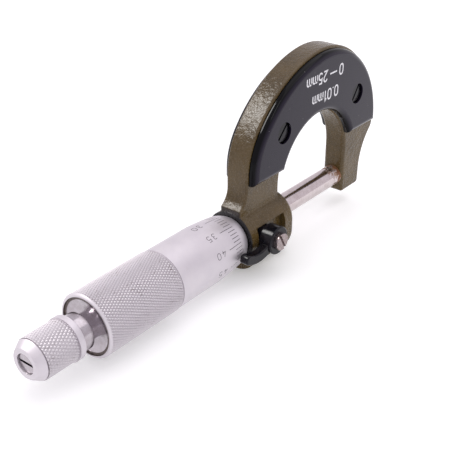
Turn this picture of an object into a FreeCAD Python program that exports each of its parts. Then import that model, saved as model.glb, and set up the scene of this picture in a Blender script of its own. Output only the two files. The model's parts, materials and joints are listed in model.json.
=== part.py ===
import FreeCAD, Part
import math
import os

from FreeCAD import Vector

# Outside micrometer, 0 to 25 mm, with a friction-type lever lock and a ratchet stop.
# Frame: millimetres. Origin at the centre of the anvil's measuring face, spindle closed on it.
# +X runs along the spindle from the ratchet towards the anvil, +Z up through the bow, and the
# lettered plate and the lock lever face -Y.

# ---- driving dimensions ----------------------------------------------------------------------
SPINDLE_R = 3.25
GUIDE_CLEARANCE = 0.03
RUNNING_CLEARANCE = 0.05
TRAVEL = 25.0

FRAME_THICKNESS = 7.2
THROAT_X = (-31.4, 3.5)
THROAT_SPRING_Z = 10.5
# The bow's outline is a chain of tangent arcs from the left leg over the top to the right leg.
# Each entry is a radius and the angle, from +X towards +Z, where its arc ends.
BOW_FIRST_CENTRE = (-26.9, 18.2)
BOW_ARCS = ((20.0, 143.4), (40.95, 96.0), (30.0, 40.0), (38.0, 6.2), (4.5, -45.0))
FLARE_FOOT_X = -49.8
FLARE_Z = (9.0, 13.9)
FLARE_FOOT_ROUND = 0.8
RIGHT_LEG_WAIST_X = 13.9
RIGHT_LEG_FOOT_X = 13.7
RIGHT_LEG_FOOT_Z = -5.4
RIGHT_LEG_TOE_ROUND = 1.2
OUTER_EDGE_ROUND = 0.6
THROAT_REAR_ROUND = 1.2

BOSS_R = 8.0
BOSS_DROP = 3.1
BOSS_X = (-47.4, -29.3)
BOSS_COLLAR_LENGTH_IN_BOSS = 5.0
BOSS_COLLAR_END_X = -49.9
BOSS_COLLAR_CHAMFER = 0.15
BOSS_NOSE_ROUND = 1.6
LEG_BLEND_R = 0.6

ANVIL_SHANK_END_X = 10.0

PLATE_THICKNESS = 2.4
# The rear plate is a little smaller than the front one.
FRONT_PLATE_INSET = 0.8
REAR_PLATE_INSET = 1.8
PLATE_ARC_COUNT = 3
PLATE_THROAT_CENTRE = (-14.2, 9.6)
FRONT_PLATE_THROAT_R = 18.5
REAR_PLATE_THROAT_R = 19.4
PLATE_BOTTOM_Z = 15.8
PLATE_EDGE_ROUND = 1.8
PLATE_SCREW_XZ = ((-33.0, 28.0), (5.5, 28.5))
PLATE_SCREW_SLOT_DEG = (45.0, 36.0)
PLATE_SCREW_SHANK_R = 1.5
PLATE_SCREW_HEAD_R = 2.8
PLATE_COUNTERBORE_R = 3.15
PLATE_COUNTERBORE_DEPTH = 1.7
PLATE_SCREW_HEAD_HEIGHT = 0.95
PLATE_SCREW_DEPTH = 2.6

STUD_X = -42.7
POCKET_X = (-46.7, -33.9)
POCKET_TOP_Z = 3.8
POCKET_FLOOR_Y = -5.9
SHOE_R = 1.7
SHOE_GAP = 0.13
SHOE_THICKNESS = 0.87
STUD_THREAD_R = 1.95
STUD_SQUARE = 3.2
STUD_END_Y = -11.7
LEVER_HUB_R = 4.2
LEVER_HUB_BACK_R = 3.4
LEVER_HUB_STEP_Y = -8.15
LEVER_BACK_Y = -6.2
LEVER_FRONT_Y = -12.1
LEVER_ARM_Y = (-11.4, -8.9)
LEVER_ARM_WIDTH = 2.9
LEVER_ARM_ARC_CENTRE = (-50.4, 8.2)
LEVER_ARM_ARC_R = 10.4
LEVER_TIP_ANGLE = 243.0
LEVER_ROOT_ANGLE = 302.0
LEVER_EDGE_ROUND = 0.45
LOCK_SCREW_R = 1.0
LOCK_SCREW_HEAD_R = 2.55
LOCK_SCREW_HEAD_HEIGHT = 1.3
LOCK_SCREW_DEPTH = 4.9
LOCK_SCREW_SLOT_DEG = -28.0
LOCK_SCREW_EDGE_ROUND = 0.3

INNER_SLEEVE_R = 5.0
INNER_SLEEVE_START_X = -45.4
INNER_SLEEVE_END_X = -90.5
GUIDE_END_X = -52.6
SPINDLE_THREAD_R = 3.45
THREAD_RELIEF_R = 3.75
NUT_THREAD_X = (-90.5, -78.0)
SPLIT_START_X = -80.0
SPLIT_WIDTH = 0.5
SPLIT_COUNT = 3
SPLIT_FIRST_DEG = 30.0
TAPER_START_X = -84.5
TAPER_END_R = 4.7
ADJUSTING_NUT_R = 5.95
SPANNER_HOLE_R = 0.6
GRADUATED_SLEEVE_R = 6.3
GRADUATED_SLEEVE_END_X = -84.2

SPINDLE_THREAD_X = (-90.0, -53.0)
SPINDLE_CONE_X = (-102.5, -93.5)
SPINDLE_CONE_R = (2.9, 3.4)
SPINDLE_TAPPED_DEPTH = 5.0
SPINDLE_RELIEF_R = 3.0
SPINDLE_RELIEF_WIDTH = 0.4

THIMBLE_FRONT_X = -50.2
THIMBLE_BORE_R = 6.4
THIMBLE_LIP_R = 6.65
THIMBLE_LIP_ARC = (-51.7, 7.42)
THIMBLE_SCALE_FRONT = (-54.0, 7.97)
THIMBLE_BEVEL_ARC = (-58.2, 8.43)
THIMBLE_BEVEL_END_X = -62.5
THIMBLE_R = 8.71
GRIP_GROOVE_X = -79.5
GRIP_GROOVE_WIDTH = 0.35
GRIP_GROOVE_DEPTH = 0.2
GRIP_R = 8.9
GRIP_END_X = -104.9
THIMBLE_END_ARC = (-105.65, 8.7)
THIMBLE_END_X = -106.0
THIMBLE_END_R = 8.3
ADAPTER_R = 7.2
ADAPTER_X = (-103.6, -93.0)
END_DISC_R = 7.7
END_DISC_HOUSING_R = 7.95
END_DISC_X = (-105.6, -103.6)
END_DISC_DISH = 0.9
END_DISC_RIM_CHAMFER = (0.2, 0.25)
END_DISC_DISH_ARC = (-104.88, 5.4)

STEM_SHANK_R = 2.0
STEM_SHANK_START_X = -98.0
STEM_NECK_R = 3.6
STEM_COLLAR_R = 5.0
STEM_COLLAR_X = (-111.1, -107.7)
STEM_SPIGOT_R = 2.5
STEM_END_X = -121.0
STEM_TAPPED_R = 1.25
STEM_TAPPED_DEPTH = 7.0

KNOB_START_X = -111.2
KNOB_BAND_R = 6.0
KNOB_GRIP_START_X = -113.0
KNOB_GRIP_R = 5.6
KNOB_GRIP_END_X = -122.4
KNOB_NOSE_START = (-122.7, 5.45)
KNOB_NOSE_END = (-124.8, 4.15)
KNOB_GROOVE_R = 5.3
KNOB_CAVITY_R = 4.6
KNOB_CAVITY_END_X = -117.6
KNOB_SCREW_SEAT_X = -121.3
KNOB_SCREW_HOLE_R = 2.8
END_SCREW_HEAD_R = 2.6
END_SCREW_HEAD_X = (-124.3, -121.6)
END_SCREW_SLOT_DEPTH = 1.0
SCREW_TIP_GAP = 1.0

TOOTH_COUNT = 12
TOOTH_WIDTH = 1.2
TOOTH_DEPTH = 0.5
TOOTH_RING_R = (2.7, 4.4)
WHEEL_CLEARANCE = 0.06
WHEEL_BACK_X = -113.4
WHEEL_LUG_WIDTH = 1.4
WHEEL_LUG_REACH = 0.4
KEYWAY_OVERTRAVEL = 1.0
SPRING_WIRE_R = 0.2
SPRING_MEAN_R = 3.6
SPRING_TURNS = 3.5

SLOT_WIDTH = 0.7
SLOT_DEPTH = 0.7
SMALL_CHAMFER = 0.1
TURNED_CHAMFER = 0.2
CUT_OVERRUN = 1.0
SAME_PLACE = 1e-3

THROAT_CENTRE_X = (THROAT_X[0] + THROAT_X[1]) / 2
THROAT_R = (THROAT_X[1] - THROAT_X[0]) / 2
FRAME_FACE_Y = FRAME_THICKNESS / 2
PLATE_FACE_Y = FRAME_FACE_Y + PLATE_THICKNESS
X_AXIS = Vector(1, 0, 0)
Y_AXIS = Vector(0, 1, 0)
ORIGIN = Vector(0, 0, 0)


# ---- geometry helpers ------------------------------------------------------------------------
def cylinder_x(radius, x_from, x_to):
    """Solid cylinder on the spindle axis."""
    start = min(x_from, x_to)
    return Part.makeCylinder(radius, abs(x_to - x_from), Vector(start, 0, 0), X_AXIS)


def cylinder_y(radius, y_from, y_to, x, z):
    """Solid cylinder square to the frame's faces."""
    start = min(y_from, y_to)
    return Part.makeCylinder(radius, abs(y_to - y_from), Vector(x, start, z), Y_AXIS)


def block(x_span, y_span, z_span):
    """Box between two corners."""
    low = Vector(min(x_span), min(y_span), min(z_span))
    size = [max(span) - min(span) for span in (x_span, y_span, z_span)]
    return Part.makeBox(size[0], size[1], size[2], low)


def turned(points):
    """Solid of revolution about the spindle axis from closed (x, radius) points.

    A point given as (mid_x, mid_r, x, r) is reached by an arc through its middle point.
    """
    corners = [Vector(p[-2], 0, p[-1]) for p in points]
    edges = []
    for index in range(len(points)):
        target = points[(index + 1) % len(points)]
        start = corners[index]
        end = corners[(index + 1) % len(points)]
        if len(target) == 4:
            middle = Vector(target[0], 0, target[1])
            edges.append(Part.Arc(start, middle, end).toShape())
        else:
            edges.append(Part.makeLine(start, end))
    face = Part.Face(Part.Wire(edges))
    return face.revolve(ORIGIN, X_AXIS, 360)


def on_circle(centre, radius, angle_deg, y=0.0):
    """Point on a circle that lies in a plane of constant y."""
    angle = math.radians(angle_deg)
    return Vector(centre[0] + radius * math.cos(angle), y, centre[1] + radius * math.sin(angle))


def arc(centre, radius, from_deg, to_deg, y=0.0):
    """Circular edge in a plane of constant y, between two angles from +X towards +Z."""
    middle_deg = (from_deg + to_deg) / 2
    start = on_circle(centre, radius, from_deg, y)
    middle = on_circle(centre, radius, middle_deg, y)
    end = on_circle(centre, radius, to_deg, y)
    return Part.Arc(start, middle, end).toShape()


def face_rims(shape, y_values):
    """The edges of a slab that lie in its two flat faces."""
    rims = []
    for edge in shape.Edges:
        heights = [vertex.Y for vertex in edge.Vertexes]
        on_a_face = all(min(abs(h - y) for y in y_values) < SAME_PLACE for h in heights)
        if on_a_face and max(heights) - min(heights) < SAME_PLACE:
            rims.append(edge)
    return rims


def slot_across_y(x, z, head_y, inward, head_r, turn_deg):
    """Screwdriver slot across a head that faces along Y; inward is the sign of the way into it."""
    half = SLOT_WIDTH / 2
    slot = block((x - half, x + half), (head_y, head_y + inward * SLOT_DEPTH), (z - head_r, z + head_r))
    slot.rotate(Vector(x, head_y, z), Y_AXIS, turn_deg)
    return slot


def tangent_arcs(first_centre, first_deg, arcs, inset=0.0):
    """Chain of tangent arcs as (centre, radius, from angle, to angle), moved inwards by an inset."""
    chain = []
    centre = first_centre
    start_deg = first_deg
    for index, (radius, end_deg) in enumerate(arcs):
        chain.append((centre, radius - inset, start_deg, end_deg))
        if index + 1 < len(arcs):
            end_rad = math.radians(end_deg)
            step = radius - arcs[index + 1][0]
            centre = (centre[0] + step * math.cos(end_rad), centre[1] + step * math.sin(end_rad))
        start_deg = end_deg
    return chain


# ---- frame -----------------------------------------------------------------------------------
def bow_outline():
    """Closed outline of the bow and both legs in the plane y = 0."""
    chain = tangent_arcs(BOW_FIRST_CENTRE, 180, BOW_ARCS)
    left_leg_x = BOW_FIRST_CENTRE[0] - BOW_ARCS[0][0]

    haunch_centre, haunch_r, _, haunch_deg = chain[-1]
    haunch_end = on_circle(haunch_centre, haunch_r, haunch_deg)
    haunch_rad = math.radians(haunch_deg)
    waist_r = (haunch_end.x - RIGHT_LEG_WAIST_X) / (1 - math.cos(haunch_rad))
    waist_centre = (
        haunch_end.x + waist_r * math.cos(haunch_rad),
        haunch_end.z + waist_r * math.sin(haunch_rad),
    )

    flare_dx = left_leg_x - FLARE_FOOT_X
    flare_dz = FLARE_Z[1] - FLARE_Z[0]
    flare_r = (flare_dx**2 + flare_dz**2) / (2 * flare_dx)
    flare_centre = (left_leg_x - flare_r, FLARE_Z[1])
    flare_deg = -math.degrees(math.asin(flare_dz / flare_r))

    throat_centre = (THROAT_CENTRE_X, THROAT_SPRING_Z)
    waist_foot = Vector(RIGHT_LEG_WAIST_X, 0, waist_centre[1])
    toe = Vector(RIGHT_LEG_FOOT_X, 0, RIGHT_LEG_FOOT_Z)
    heel = Vector(THROAT_X[1], 0, RIGHT_LEG_FOOT_Z)
    left_leg_top = Vector(left_leg_x, 0, BOW_FIRST_CENTRE[1])
    edges = [
        Part.makeLine(Vector(FLARE_FOOT_X, 0, 0), Vector(FLARE_FOOT_X, 0, FLARE_Z[0])),
        arc(flare_centre, flare_r, flare_deg, 0),
        Part.makeLine(Vector(left_leg_x, 0, FLARE_Z[1]), left_leg_top),
    ]
    edges += [arc(centre, radius, start_deg, end_deg) for centre, radius, start_deg, end_deg in chain]
    edges += [
        arc(waist_centre, waist_r, 180 + haunch_deg, 180),
        Part.makeLine(waist_foot, toe),
        Part.makeLine(toe, heel),
        Part.makeLine(heel, Vector(THROAT_X[1], 0, THROAT_SPRING_Z)),
        arc(throat_centre, THROAT_R, 0, 180),
        Part.makeLine(Vector(THROAT_X[0], 0, THROAT_SPRING_Z), Vector(THROAT_X[0], 0, 0)),
        Part.makeLine(Vector(THROAT_X[0], 0, 0), Vector(FLARE_FOOT_X, 0, 0)),
    ]
    return Part.Wire(Part.__sortEdges__(edges))


def is_throat_edge(edge):
    """True for a rim edge that borders the measuring throat."""
    middle = edge.valueAt((edge.FirstParameter + edge.LastParameter) / 2)
    from_centre = math.hypot(middle.x - THROAT_CENTRE_X, middle.z - THROAT_SPRING_Z)
    on_leg = min(abs(middle.x - x) for x in THROAT_X) < SAME_PLACE and middle.z < THROAT_SPRING_Z
    return on_leg or abs(from_centre - THROAT_R) < SAME_PLACE


def is_hidden_foot(edge):
    """True for the rim edges at the foot of the left leg, which end up inside the boss."""
    return max(vertex.Z for vertex in edge.Vertexes) < SAME_PLACE


def is_clear_of_boss(edge):
    """True for a rim edge that does not reach down into the boss."""
    return min(vertex.Z for vertex in edge.Vertexes) > SAME_PLACE or edge.Vertexes[0].X > THROAT_CENTRE_X


def corner_edges(shape, x, z):
    """The edge that runs across the frame at one corner of its outline."""
    corners = []
    for edge in shape.Edges:
        if all(math.hypot(vertex.X - x, vertex.Z - z) < SAME_PLACE for vertex in edge.Vertexes):
            corners.append(edge)
    return corners


def make_bow():
    """Flat bow with rounded rims; the throat keeps a crisp front rim and has a rounder rear one."""
    face = Part.Face(bow_outline())
    face.translate(Vector(0, -FRAME_FACE_Y, 0))
    bow = face.extrude(Vector(0, FRAME_THICKNESS, 0))
    bow = bow.makeFillet(FLARE_FOOT_ROUND, corner_edges(bow, FLARE_FOOT_X, FLARE_Z[0]))
    bow = bow.makeFillet(RIGHT_LEG_TOE_ROUND, corner_edges(bow, RIGHT_LEG_FOOT_X, RIGHT_LEG_FOOT_Z))
    rims = face_rims(bow, (-FRAME_FACE_Y, FRAME_FACE_Y))
    outer = [edge for edge in rims if not is_throat_edge(edge) and not is_hidden_foot(edge)]
    bow = bow.makeFillet(OUTER_EDGE_ROUND, outer)
    rear_rims = face_rims(bow, (FRAME_FACE_Y,))
    rear = [edge for edge in rear_rims if is_throat_edge(edge) and is_clear_of_boss(edge)]
    return bow.makeFillet(THROAT_REAR_ROUND, rear)


def make_boss():
    """Boss around the spindle, deeper below the bore, with a round collar at the thimble end."""
    round_part = cylinder_x(BOSS_R, *BOSS_X)
    lower_part = round_part.copy()
    lower_part.translate(Vector(0, 0, -BOSS_DROP))
    between = block(BOSS_X, (-BOSS_R, BOSS_R), (-BOSS_DROP, 0))
    body = round_part.fuse([between, lower_part]).removeSplitter()
    nose_edges = [
        edge
        for edge in body.Edges
        if all(abs(vertex.X - max(BOSS_X)) < SAME_PLACE for vertex in edge.Vertexes)
    ]
    body = body.makeFillet(BOSS_NOSE_ROUND, nose_edges)
    collar = turned(
        [
            (min(BOSS_X) + BOSS_COLLAR_LENGTH_IN_BOSS, 0),
            (min(BOSS_X) + BOSS_COLLAR_LENGTH_IN_BOSS, BOSS_R),
            (BOSS_COLLAR_END_X + BOSS_COLLAR_CHAMFER, BOSS_R),
            (BOSS_COLLAR_END_X, BOSS_R - BOSS_COLLAR_CHAMFER),
            (BOSS_COLLAR_END_X, 0),
        ]
    )
    return body.fuse(collar)


def leg_foot_edges(shape):
    """The two straight edges where the leg's faces run into the boss."""
    foot_z = math.sqrt(BOSS_R**2 - FRAME_FACE_Y**2)
    feet = []
    for edge in shape.Edges:
        on_faces = all(abs(abs(vertex.Y) - FRAME_FACE_Y) < SAME_PLACE for vertex in edge.Vertexes)
        at_foot = all(abs(vertex.Z - foot_z) < SAME_PLACE for vertex in edge.Vertexes)
        if on_faces and at_foot and len(edge.Vertexes) == 2:
            feet.append(edge)
    return feet


def make_frame():
    """Cast frame: bow, legs and boss, bored for the anvil, spindle, sleeve, lock and screws."""
    frame = make_bow().fuse(make_boss()).removeSplitter()
    frame = frame.makeFillet(LEG_BLEND_R, leg_foot_edges(frame))
    pocket_bottom_z = -BOSS_R - BOSS_DROP - CUT_OVERRUN
    stud_hole_end_y = POCKET_FLOOR_Y - CUT_OVERRUN
    spindle_hole_x = (INNER_SLEEVE_START_X - CUT_OVERRUN, max(BOSS_X) + CUT_OVERRUN)
    cuts = [
        cylinder_x(SPINDLE_R, THROAT_X[1] - CUT_OVERRUN, ANVIL_SHANK_END_X),
        cylinder_x(SPINDLE_R + GUIDE_CLEARANCE, *spindle_hole_x),
        cylinder_x(INNER_SLEEVE_R, BOSS_COLLAR_END_X - CUT_OVERRUN, INNER_SLEEVE_START_X),
        block(POCKET_X, (POCKET_FLOOR_Y, -BOSS_R - CUT_OVERRUN), (POCKET_TOP_Z, pocket_bottom_z)),
        cylinder_y(SHOE_R + RUNNING_CLEARANCE, 0, shoe_back_y(), STUD_X, 0),
        cylinder_y(STUD_THREAD_R + RUNNING_CLEARANCE, shoe_back_y(), stud_hole_end_y, STUD_X, 0),
    ]
    for x, z in PLATE_SCREW_XZ:
        for side in (-1, 1):
            depth_y = side * (FRAME_FACE_Y - PLATE_SCREW_DEPTH)
            out_y = side * (FRAME_FACE_Y + CUT_OVERRUN)
            cuts.append(cylinder_y(PLATE_SCREW_SHANK_R, depth_y, out_y, x, z))
    return frame.cut(cuts)


def make_anvil():
    """Hardened anvil pin, pressed into the leg and standing out of it."""
    return cylinder_x(SPINDLE_R, 0, ANVIL_SHANK_END_X)


# ---- insulating plates -----------------------------------------------------------------------
def make_plate(side):
    """Moulded plate on one face of the bow; side is -1 for the front and 1 for the rear."""
    inset = FRONT_PLATE_INSET if side < 0 else REAR_PLATE_INSET
    throat_r = FRONT_PLATE_THROAT_R if side < 0 else REAR_PLATE_THROAT_R
    chain = tangent_arcs(BOW_FIRST_CENTRE, 180, BOW_ARCS[:PLATE_ARC_COUNT], inset)
    last_centre, last_r, last_start_deg, _ = chain[-1]
    last_deg = math.degrees(math.asin((PLATE_BOTTOM_Z - last_centre[1]) / last_r))
    chain[-1] = (last_centre, last_r, last_start_deg, last_deg)
    outer_left = Vector(BOW_FIRST_CENTRE[0] - chain[0][1], 0, PLATE_BOTTOM_Z)
    outer_right = on_circle(last_centre, last_r, last_deg)
    inner_drop = PLATE_BOTTOM_Z - PLATE_THROAT_CENTRE[1]
    inner_deg = math.degrees(math.asin(inner_drop / throat_r))
    inner_right = on_circle(PLATE_THROAT_CENTRE, throat_r, inner_deg)
    inner_left = on_circle(PLATE_THROAT_CENTRE, throat_r, 180 - inner_deg)
    edges = [Part.makeLine(outer_left, on_circle(BOW_FIRST_CENTRE, chain[0][1], 180))]
    edges += [arc(centre, radius, start_deg, end_deg) for centre, radius, start_deg, end_deg in chain]
    edges += [
        Part.makeLine(outer_right, inner_right),
        arc(PLATE_THROAT_CENTRE, throat_r, inner_deg, 180 - inner_deg),
        Part.makeLine(inner_left, outer_left),
    ]
    face = Part.Face(Part.Wire(edges))
    face.translate(Vector(0, side * FRAME_FACE_Y, 0))
    plate = face.extrude(Vector(0, side * PLATE_THICKNESS, 0))
    plate = plate.makeFillet(PLATE_EDGE_ROUND, face_rims(plate, (side * PLATE_FACE_Y,)))
    cuts = []
    for x, z in PLATE_SCREW_XZ:
        seat_y = side * (PLATE_FACE_Y - PLATE_COUNTERBORE_DEPTH)
        cuts.append(cylinder_y(PLATE_COUNTERBORE_R, seat_y, side * (PLATE_FACE_Y + CUT_OVERRUN), x, z))
        cuts.append(cylinder_y(PLATE_SCREW_SHANK_R, 0, seat_y, x, z))
    return plate.cut(cuts)


def make_plate_screws(side):
    """The two slotted cheese-head screws of one plate."""
    seat_y = PLATE_FACE_Y - PLATE_COUNTERBORE_DEPTH
    head_y = seat_y + PLATE_SCREW_HEAD_HEIGHT
    tip_y = FRAME_FACE_Y - PLATE_SCREW_DEPTH
    screws = []
    for (x, z), slot_deg in zip(PLATE_SCREW_XZ, PLATE_SCREW_SLOT_DEG):
        shank = cylinder_y(PLATE_SCREW_SHANK_R, side * tip_y, side * seat_y, x, z)
        head = cylinder_y(PLATE_SCREW_HEAD_R, side * seat_y, side * head_y, x, z)
        slot = slot_across_y(x, z, side * head_y, -side, PLATE_SCREW_HEAD_R, slot_deg)
        screws.append(shank.fuse(head).cut(slot))
    return Part.makeCompound(screws)


# ---- spindle lock ----------------------------------------------------------------------------
def shoe_back_y():
    """Where the brass shoe ends and the clamp stud begins."""
    return -(SPINDLE_R + SHOE_GAP + SHOE_THICKNESS)


def make_lock_shoe():
    """Brass pad that the clamp stud presses on the spindle."""
    return cylinder_y(SHOE_R, -(SPINDLE_R + SHOE_GAP), shoe_back_y(), STUD_X, 0)


def lock_screw_tip_y():
    """Where the tip of the lock screw's shank ends inside the stud."""
    return LEVER_FRONT_Y + LOCK_SCREW_DEPTH


def make_lock_stud():
    """Threaded clamp stud with a square for the lever and a tapped end."""
    thread = cylinder_y(STUD_THREAD_R, shoe_back_y(), LEVER_BACK_Y, STUD_X, 0)
    half = STUD_SQUARE / 2
    square = block((STUD_X - half, STUD_X + half), (LEVER_BACK_Y, STUD_END_Y), (-half, half))
    return thread.fuse(square).cut(cylinder_y(LOCK_SCREW_R, STUD_END_Y, lock_screw_tip_y(), STUD_X, 0))


def make_lock_lever():
    """Lever: a stepped hub on the stud's square and a curved arm that ends in a round tip."""
    hub_back = cylinder_y(LEVER_HUB_BACK_R, LEVER_BACK_Y, LEVER_HUB_STEP_Y, STUD_X, 0)
    hub_front = cylinder_y(LEVER_HUB_R, LEVER_HUB_STEP_Y, LEVER_FRONT_Y, STUD_X, 0)
    hub_front = hub_front.makeFillet(LEVER_EDGE_ROUND, face_rims(hub_front, (LEVER_FRONT_Y,)))
    half_width = LEVER_ARM_WIDTH / 2
    inner_r = LEVER_ARM_ARC_R - half_width
    outer_r = LEVER_ARM_ARC_R + half_width
    front, back = LEVER_ARM_Y
    centre = LEVER_ARM_ARC_CENTRE
    root_inner = on_circle(centre, inner_r, LEVER_ROOT_ANGLE, front)
    root_outer = on_circle(centre, outer_r, LEVER_ROOT_ANGLE, front)
    tip_inner = on_circle(centre, inner_r, LEVER_TIP_ANGLE, front)
    tip_outer = on_circle(centre, outer_r, LEVER_TIP_ANGLE, front)
    edges = [
        Part.makeLine(root_inner, root_outer),
        arc(centre, outer_r, LEVER_ROOT_ANGLE, LEVER_TIP_ANGLE, front),
        Part.makeLine(tip_outer, tip_inner),
        arc(centre, inner_r, LEVER_TIP_ANGLE, LEVER_ROOT_ANGLE, front),
    ]
    arm = Part.Face(Part.Wire(edges)).extrude(Vector(0, back - front, 0))
    tip_centre = on_circle(centre, LEVER_ARM_ARC_R, LEVER_TIP_ANGLE)
    tip = cylinder_y(half_width, back, front, tip_centre.x, tip_centre.z)
    arm = arm.fuse(tip).removeSplitter()
    arm = arm.makeFillet(LEVER_EDGE_ROUND, face_rims(arm, (front,)))
    lever = hub_back.fuse([hub_front, arm]).removeSplitter()
    half = STUD_SQUARE / 2
    bore_y = (LEVER_BACK_Y + CUT_OVERRUN, LEVER_FRONT_Y - CUT_OVERRUN)
    return lever.cut(block((STUD_X - half, STUD_X + half), bore_y, (-half, half)))


def make_lock_screw():
    """Slotted screw that holds the lever on its stud."""
    head_y = LEVER_FRONT_Y - LOCK_SCREW_HEAD_HEIGHT
    shank = cylinder_y(LOCK_SCREW_R, lock_screw_tip_y(), LEVER_FRONT_Y, STUD_X, 0)
    head = cylinder_y(LOCK_SCREW_HEAD_R, LEVER_FRONT_Y, head_y, STUD_X, 0)
    head = head.makeFillet(LOCK_SCREW_EDGE_ROUND, face_rims(head, (head_y,)))
    slot = slot_across_y(STUD_X, 0, head_y, 1, LOCK_SCREW_HEAD_R, LOCK_SCREW_SLOT_DEG)
    return shank.fuse(head).cut(slot)


# ---- sleeves and adjusting nut ---------------------------------------------------------------
def make_inner_sleeve():
    """Guide and nut tube, pressed into the boss; its tapered, split end is the spindle nut."""
    end_x = INNER_SLEEVE_END_X
    sleeve = turned(
        [
            (INNER_SLEEVE_START_X, SPINDLE_R + GUIDE_CLEARANCE),
            (INNER_SLEEVE_START_X, INNER_SLEEVE_R),
            (TAPER_START_X, INNER_SLEEVE_R),
            (end_x, TAPER_END_R),
            (end_x, SPINDLE_THREAD_R + RUNNING_CLEARANCE),
            (max(NUT_THREAD_X), SPINDLE_THREAD_R + RUNNING_CLEARANCE),
            (max(NUT_THREAD_X), THREAD_RELIEF_R),
            (GUIDE_END_X, THREAD_RELIEF_R),
            (GUIDE_END_X, SPINDLE_R + GUIDE_CLEARANCE),
        ]
    )
    half = SPLIT_WIDTH / 2
    split_x = (end_x - CUT_OVERRUN, SPLIT_START_X)
    cuts = []
    for index in range(SPLIT_COUNT):
        cutter = block(split_x, (-half, half), (0, INNER_SLEEVE_R + CUT_OVERRUN))
        cutter.rotate(ORIGIN, X_AXIS, 360 / SPLIT_COUNT * index + SPLIT_FIRST_DEG)
        cuts.append(cutter)
    return sleeve.cut(cuts)


def make_adjusting_nut():
    """Ring nut on the tapered thread, drilled for a hook spanner; it closes the split end."""
    nut = turned(
        [
            (TAPER_START_X, INNER_SLEEVE_R),
            (TAPER_START_X, ADJUSTING_NUT_R),
            (INNER_SLEEVE_END_X, ADJUSTING_NUT_R),
            (INNER_SLEEVE_END_X, TAPER_END_R),
        ]
    )
    middle_x = (TAPER_START_X + INNER_SLEEVE_END_X) / 2
    reach = ADJUSTING_NUT_R + CUT_OVERRUN
    hole = Part.makeCylinder(SPANNER_HOLE_R, 2 * reach, Vector(middle_x, 0, -reach))
    return nut.cut(hole)


def make_graduated_sleeve():
    """Outer sleeve that carries the linear scale and fits over the inner sleeve."""
    outer = cylinder_x(GRADUATED_SLEEVE_R, GRADUATED_SLEEVE_END_X, BOSS_COLLAR_END_X)
    bore = cylinder_x(INNER_SLEEVE_R, GRADUATED_SLEEVE_END_X - CUT_OVERRUN, BOSS_COLLAR_END_X + CUT_OVERRUN)
    return outer.cut(bore)


# ---- spindle ---------------------------------------------------------------------------------
def make_spindle():
    """Ground spindle: plain measuring end, threaded length, tapered seat and tapped tail."""
    rear_x = min(SPINDLE_CONE_X)
    thread_front_x = max(SPINDLE_THREAD_X)
    spindle = turned(
        [
            (0, 0),
            (0, SPINDLE_R - SMALL_CHAMFER),
            (-SMALL_CHAMFER, SPINDLE_R),
            (thread_front_x + SPINDLE_RELIEF_WIDTH, SPINDLE_R),
            (thread_front_x + SPINDLE_RELIEF_WIDTH, SPINDLE_RELIEF_R),
            (thread_front_x, SPINDLE_RELIEF_R),
            (thread_front_x, SPINDLE_THREAD_R),
            (min(SPINDLE_THREAD_X), SPINDLE_THREAD_R),
            (min(SPINDLE_THREAD_X), SPINDLE_RELIEF_R),
            (max(SPINDLE_CONE_X), SPINDLE_RELIEF_R),
            (max(SPINDLE_CONE_X), max(SPINDLE_CONE_R)),
            (rear_x, min(SPINDLE_CONE_R)),
            (rear_x, 0),
        ]
    )
    tapped_r = STEM_SHANK_R + RUNNING_CLEARANCE
    return spindle.cut(cylinder_x(tapped_r, rear_x - CUT_OVERRUN, rear_x + SPINDLE_TAPPED_DEPTH))


# ---- thimble ---------------------------------------------------------------------------------
def make_thimble():
    """Thimble: bevelled scale end, plain barrel, raised grip and a stepped rear housing."""
    lip_x = THIMBLE_FRONT_X
    groove_far_x = GRIP_GROOVE_X - GRIP_GROOVE_WIDTH
    bottom_r = THIMBLE_R - GRIP_GROOVE_DEPTH
    return turned(
        [
            (lip_x, THIMBLE_BORE_R),
            (lip_x, THIMBLE_LIP_R),
            (*THIMBLE_LIP_ARC, *THIMBLE_SCALE_FRONT),
            (*THIMBLE_BEVEL_ARC, THIMBLE_BEVEL_END_X, THIMBLE_R),
            (GRIP_GROOVE_X, THIMBLE_R),
            (GRIP_GROOVE_X, bottom_r),
            (groove_far_x, bottom_r),
            (groove_far_x, GRIP_R - SMALL_CHAMFER),
            (groove_far_x - SMALL_CHAMFER, GRIP_R),
            (GRIP_END_X, GRIP_R),
            (*THIMBLE_END_ARC, THIMBLE_END_X, THIMBLE_END_R),
            (THIMBLE_END_X, END_DISC_HOUSING_R),
            (max(END_DISC_X), END_DISC_HOUSING_R),
            (max(END_DISC_X), ADAPTER_R),
            (max(ADAPTER_X), ADAPTER_R),
            (max(ADAPTER_X), THIMBLE_BORE_R),
        ]
    )


def make_taper_adapter():
    """Ring pressed into the thimble, with a taper bore that seats on the spindle."""
    gap = RUNNING_CLEARANCE / 2
    cone_front_x = max(SPINDLE_CONE_X)
    cone_rear_x = min(SPINDLE_CONE_X)
    return turned(
        [
            (max(ADAPTER_X), max(SPINDLE_CONE_R) + gap),
            (max(ADAPTER_X), ADAPTER_R),
            (min(ADAPTER_X), ADAPTER_R),
            (min(ADAPTER_X), min(SPINDLE_CONE_R) + gap),
            (cone_rear_x, min(SPINDLE_CONE_R) + gap),
            (cone_front_x, max(SPINDLE_CONE_R) + gap),
        ]
    )


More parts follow.
